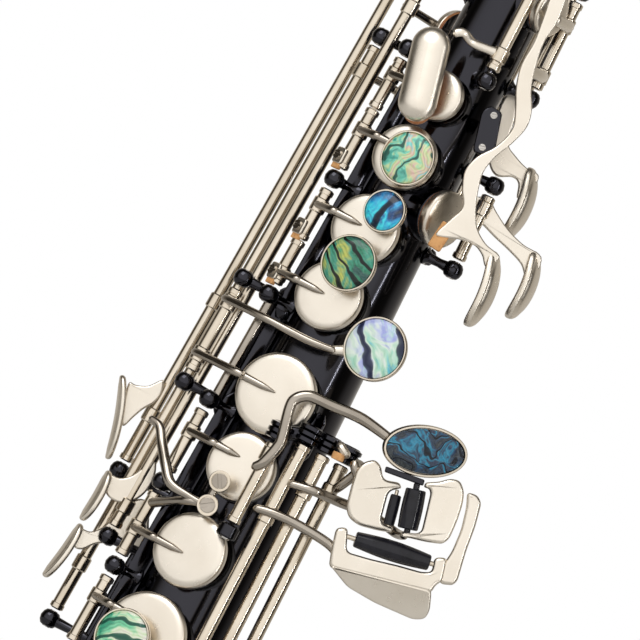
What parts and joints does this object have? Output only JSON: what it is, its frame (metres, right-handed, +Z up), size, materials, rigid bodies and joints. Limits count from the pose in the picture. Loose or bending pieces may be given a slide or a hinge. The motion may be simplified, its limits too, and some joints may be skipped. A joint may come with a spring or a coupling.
{
  "type": "soprano saxophone",
  "caption": "Straight soprano saxophone with black nickel body, satin nickel keys on hinge rods, and abalone finger pearls; every key swings.",
  "frame": {"origin": "on the surface the bell rim stands on, under the centre of the instrument's bounding box", "axes": "+Z up the bore from bell to mouthpiece, -Y the side of the main tone holes and finger pearls, +X the side of the palm keys and the left little-finger table"},
  "size_m": [0.1167, 0.093, 0.702],
  "materials": {
    "black_nickel": "glossy black nickel plate",
    "satin_nickel": "satin champagne nickel plate",
    "polished_nickel": "polished nickel plate",
    "abalone": "polished abalone shell",
    "black_roller": "polished black",
    "ebonite": "satin black hard rubber",
    "cane": "bare reed cane",
    "cork": "bare sheet cork"
  },
  "bodies": {
    "root": {"bell": "black_nickel", "body_tube": "black_nickel", "bell_ring": "polished_nickel", "neck_ring": "polished_nickel", "neck": "black_nickel", "neck_cork": "cork", "mouthpiece": "ebonite", "reed": "cane", "ligature": "polished_nickel", "strap_ring": "black_nickel", "thumb_hook": "black_nickel", "thumb_rest": "ebonite", "low_key_guard": "black_nickel", "table_bracket": "black_nickel", "low_rod_rib": "black_nickel", "upper_stack_rib": "black_nickel", "lower_stack_rib": "black_nickel", "g_rib": "black_nickel", "side_rib": "black_nickel", "low_c_rib": "black_nickel"},
    "c_vent_key": {"c_vent_key": "satin_nickel"},
    "b_key": {"b_key": "satin_nickel", "b_pearl": "abalone"},
    "bis_key": {"bis_key": "satin_nickel", "bis_pearl": "abalone"},
    "a_key": {"a_key": "satin_nickel", "a_pearl": "abalone"},
    "f_sharp_key": {"f_sharp_key": "satin_nickel"},
    "f_key": {"f_key": "satin_nickel", "f_pearl": "abalone"},
    "e_key": {"e_key": "satin_nickel", "e_pearl": "abalone"},
    "d_key": {"d_key": "satin_nickel", "d_pearl": "abalone"},
    "g_key": {"g_key": "satin_nickel", "g_pearl": "abalone"},
    "g_sharp_key": {"g_sharp_key": "satin_nickel"},
    "g_sharp_lever": {"g_sharp_lever": "polished_nickel", "g_sharp_inlay": "abalone"},
    "low_c_sharp_key": {"low_c_sharp_key": "satin_nickel"},
    "low_b_key": {"low_b_key": "satin_nickel"},
    "low_b_flat_key": {"low_b_flat_key": "satin_nickel"},
    "palm_d_key": {"palm_d_key": "satin_nickel"},
    "palm_e_flat_key": {"palm_e_flat_key": "satin_nickel"},
    "palm_f_key": {"palm_f_key": "satin_nickel"},
    "front_f_key": {"front_f_key": "satin_nickel"},
    "side_e_key": {"side_e_key": "satin_nickel"},
    "side_c_key": {"side_c_key": "satin_nickel"},
    "side_b_flat_key": {"side_b_flat_key": "satin_nickel"},
    "low_c_key": {"low_c_key": "satin_nickel"},
    "low_e_flat_key": {"low_e_flat_key": "satin_nickel"},
    "thumb_octave_lever": {"thumb_octave_lever": "satin_nickel"},
    "upper_octave_key": {"upper_octave_key": "satin_nickel"},
    "body_octave_key": {"body_octave_key": "satin_nickel"},
    "table_roller_small": {"table_roller_small": "black_roller"},
    "table_roller_upper": {"table_roller_upper": "black_roller"},
    "table_roller_lower": {"table_roller_lower": "black_roller"},
    "low_c_roller": {"low_c_roller": "black_roller"}
  },
  "joints": [
    {"name": "c_vent_key_hinge", "type": "hinge", "parent": "root", "child": "c_vent_key", "pos_m": [-0.02837, -0.01233, 0.464], "axis": [0.024, 0.0181, 0.9995], "range_deg": [0, 7.6], "stiffness_Nm_per_rad": 0.05, "springref_deg": -17.19},
    {"name": "b_key_hinge", "type": "hinge", "parent": "root", "child": "b_key", "pos_m": [-0.0288, -0.01266, 0.446], "axis": [0.024, 0.0181, 0.9995], "range_deg": [0, 7.6], "stiffness_Nm_per_rad": 0.05, "springref_deg": -17.19},
    {"name": "bis_key_hinge", "type": "hinge", "parent": "root", "child": "bis_key", "pos_m": [-0.02938, -0.01309, 0.4218], "axis": [0.024, 0.0181, 0.9995], "range_deg": [0, 7.6], "stiffness_Nm_per_rad": 0.05, "springref_deg": -17.19},
    {"name": "a_key_hinge", "type": "hinge", "parent": "root", "child": "a_key", "pos_m": [-0.02991, -0.01349, 0.4], "axis": [0.024, 0.0181, 0.9995], "range_deg": [0, 7.6], "stiffness_Nm_per_rad": 0.05, "springref_deg": -17.19},
    {"name": "f_sharp_key_hinge", "type": "hinge", "parent": "root", "child": "f_sharp_key", "pos_m": [-0.03187, -0.01497, 0.318], "axis": [0.024, 0.0181, 0.9995], "range_deg": [0, 7.6], "stiffness_Nm_per_rad": 0.05, "springref_deg": -17.19},
    {"name": "f_key_hinge", "type": "hinge", "parent": "root", "child": "f_key", "pos_m": [-0.0324, -0.01537, 0.296], "axis": [0.024, 0.0181, 0.9995], "range_deg": [0, 7.6], "stiffness_Nm_per_rad": 0.05, "springref_deg": -17.19},
    {"name": "e_key_hinge", "type": "hinge", "parent": "root", "child": "e_key", "pos_m": [-0.03307, -0.01587, 0.268], "axis": [0.024, 0.0181, 0.9995], "range_deg": [0, 7.6], "stiffness_Nm_per_rad": 0.05, "springref_deg": -17.19},
    {"name": "d_key_hinge", "type": "hinge", "parent": "root", "child": "d_key", "pos_m": [-0.03377, -0.0164, 0.239], "axis": [0.024, 0.0181, 0.9995], "range_deg": [0, 7.6], "stiffness_Nm_per_rad": 0.05, "springref_deg": -17.19},
    {"name": "g_key_hinge", "type": "hinge", "parent": "root", "child": "g_key", "pos_m": [-0.0395, -0.01253, 0.38], "axis": [0.0273, 0.0124, 0.9995], "range_deg": [0, 5], "stiffness_Nm_per_rad": 0.05, "springref_deg": -17.19},
    {"name": "g_sharp_key_hinge", "type": "hinge", "parent": "root", "child": "g_sharp_key", "pos_m": [-0.0312, -0.01446, 0.346], "axis": [-0.024, -0.0181, -0.9995], "range_deg": [0, 5.8], "stiffness_Nm_per_rad": 0.05, "springref_deg": -17.19},
    {"name": "g_sharp_lever_hinge", "type": "hinge", "parent": "root", "child": "g_sharp_lever", "pos_m": [-0.005, -0.02614, 0.345], "axis": [-0.0078, 0.029, 0.9995], "range_deg": [0, 7], "stiffness_Nm_per_rad": 0.05, "springref_deg": -17.19},
    {"name": "low_c_sharp_key_hinge", "type": "hinge", "parent": "root", "child": "low_c_sharp_key", "pos_m": [0.01197, -0.01329, 0.35], "axis": [-0.0263, 0.0146, 0.9995], "range_deg": [0, 7], "stiffness_Nm_per_rad": 0.05, "springref_deg": -17.19},
    {"name": "low_b_key_hinge", "type": "hinge", "parent": "root", "child": "low_b_key", "pos_m": [0.0074, -0.0194, 0.349], "axis": [-0.0212, 0.0212, 0.9995], "range_deg": [0, 7], "stiffness_Nm_per_rad": 0.05, "springref_deg": -17.19},
    {"name": "low_b_flat_key_hinge", "type": "hinge", "parent": "root", "child": "low_b_flat_key", "pos_m": [0.0023, -0.02381, 0.338], "axis": [-0.0155, 0.0257, 0.9995], "range_deg": [0, 7], "stiffness_Nm_per_rad": 0.05, "springref_deg": -17.19},
    {"name": "palm_d_key_hinge", "type": "hinge", "parent": "root", "child": "palm_d_key", "pos_m": [0.00561, 0.00374, 0.48], "axis": [-0.0294, -0.0062, 0.9995], "range_deg": [0, 9], "stiffness_Nm_per_rad": 0.05, "springref_deg": -17.19},
    {"name": "palm_e_flat_key_hinge", "type": "hinge", "parent": "root", "child": "palm_e_flat_key", "pos_m": [0.00103, 0.01259, 0.476], "axis": [-0.0216, -0.0209, 0.9995], "range_deg": [0, 9], "stiffness_Nm_per_rad": 0.05, "springref_deg": -17.19},
    {"name": "palm_f_key_hinge", "type": "hinge", "parent": "root", "child": "palm_f_key", "pos_m": [0.00938, 0.00301, 0.427], "axis": [-0.0297, -0.0042, 0.9995], "range_deg": [0, 9], "stiffness_Nm_per_rad": 0.05, "springref_deg": -17.19},
    {"name": "front_f_key_hinge", "type": "hinge", "parent": "root", "child": "front_f_key", "pos_m": [-0.00275, -0.01603, 0.48], "axis": [0.015, -0.026, -0.9995], "range_deg": [0, 8], "stiffness_Nm_per_rad": 0.05, "springref_deg": -17.19},
    {"name": "side_e_key_hinge", "type": "hinge", "parent": "root", "child": "side_e_key", "pos_m": [-0.04685, 0.00213, 0.4], "axis": [0.03, -0.0018, 0.9995], "range_deg": [0, 9], "stiffness_Nm_per_rad": 0.05, "springref_deg": -17.19},
    {"name": "side_c_key_hinge", "type": "hinge", "parent": "root", "child": "side_c_key", "pos_m": [-0.03798, -0.00481, 0.4], "axis": [0.0295, 0.0055, 0.9995], "range_deg": [0, 9], "stiffness_Nm_per_rad": 0.05, "springref_deg": -17.19},
    {"name": "side_b_flat_key_hinge", "type": "hinge", "parent": "root", "child": "side_b_flat_key", "pos_m": [-0.04188, -0.00156, 0.4], "axis": [0.03, 0.0016, 0.9995], "range_deg": [0, 9], "stiffness_Nm_per_rad": 0.05, "springref_deg": -17.19},
    {"name": "low_c_key_hinge", "type": "hinge", "parent": "root", "child": "low_c_key", "pos_m": [-0.02551, -0.0234, 0.18], "axis": [0.015, 0.026, 0.9995], "range_deg": [0, 6], "stiffness_Nm_per_rad": 0.05, "springref_deg": -17.19},
    {"name": "low_e_flat_key_hinge", "type": "hinge", "parent": "root", "child": "low_e_flat_key", "pos_m": [-0.02509, -0.02267, 0.208], "axis": [0.015, 0.026, 0.9995], "range_deg": [0, 8], "stiffness_Nm_per_rad": 0.05, "springref_deg": -17.19},
    {"name": "thumb_octave_lever_hinge", "type": "hinge", "parent": "root", "child": "thumb_octave_lever", "pos_m": [-0.0029, 0.01577, 0.44], "axis": [-0.015, -0.026, 0.9995], "range_deg": [0, 8], "stiffness_Nm_per_rad": 0.004, "springref_deg": -17.19},
    {"name": "upper_octave_key_hinge", "type": "hinge", "parent": "root", "child": "upper_octave_key", "pos_m": [-0.00586, 0.01521, 0.5], "axis": [0.0112, 0.0278, -0.9995], "range_deg": [0, 8], "stiffness_Nm_per_rad": 0.004, "springref_deg": -17.19},
    {"name": "body_octave_key_hinge", "type": "hinge", "parent": "root", "child": "body_octave_key", "pos_m": [-0.01826, 0.01549, 0.49], "axis": [0.0112, -0.0278, 0.9995], "range_deg": [0, 8], "stiffness_Nm_per_rad": 0.004, "springref_deg": -17.19},
    {"name": "table_roller_small_spin", "type": "hinge", "parent": "low_c_sharp_key", "child": "table_roller_small", "pos_m": [0.03178, -0.01899, 0.35563], "axis": [-0.2156, -0.1005, 0.9713], "continuous": true},
    {"name": "table_roller_upper_spin", "type": "hinge", "parent": "low_b_key", "child": "table_roller_upper", "pos_m": [0.03682, -0.02019, 0.35826], "axis": [-0.2567, -0.0849, 0.9628], "continuous": true},
    {"name": "table_roller_lower_spin", "type": "hinge", "parent": "low_b_flat_key", "child": "table_roller_lower", "pos_m": [0.03764, -0.02094, 0.34556], "axis": [0.9359, 0.304, 0.1778], "continuous": true},
    {"name": "low_c_roller_spin", "type": "hinge", "parent": "low_c_key", "child": "low_c_roller", "pos_m": [-0.01108, -0.03373, 0.20726], "axis": [0.9945, -0.1045, 0.0028], "continuous": true}
  ],
  "couplings": [
    {"joint": "c_vent_key_hinge", "follows": "b_key_hinge", "ratio": 1},
    {"joint": "f_sharp_key_hinge", "follows": "f_key_hinge", "ratio": 1},
    {"joint": "g_sharp_key_hinge", "follows": "g_sharp_lever_hinge", "ratio": 0.82},
    {"joint": "upper_octave_key_hinge", "follows": "thumb_octave_lever_hinge", "ratio": 1}
  ]
}
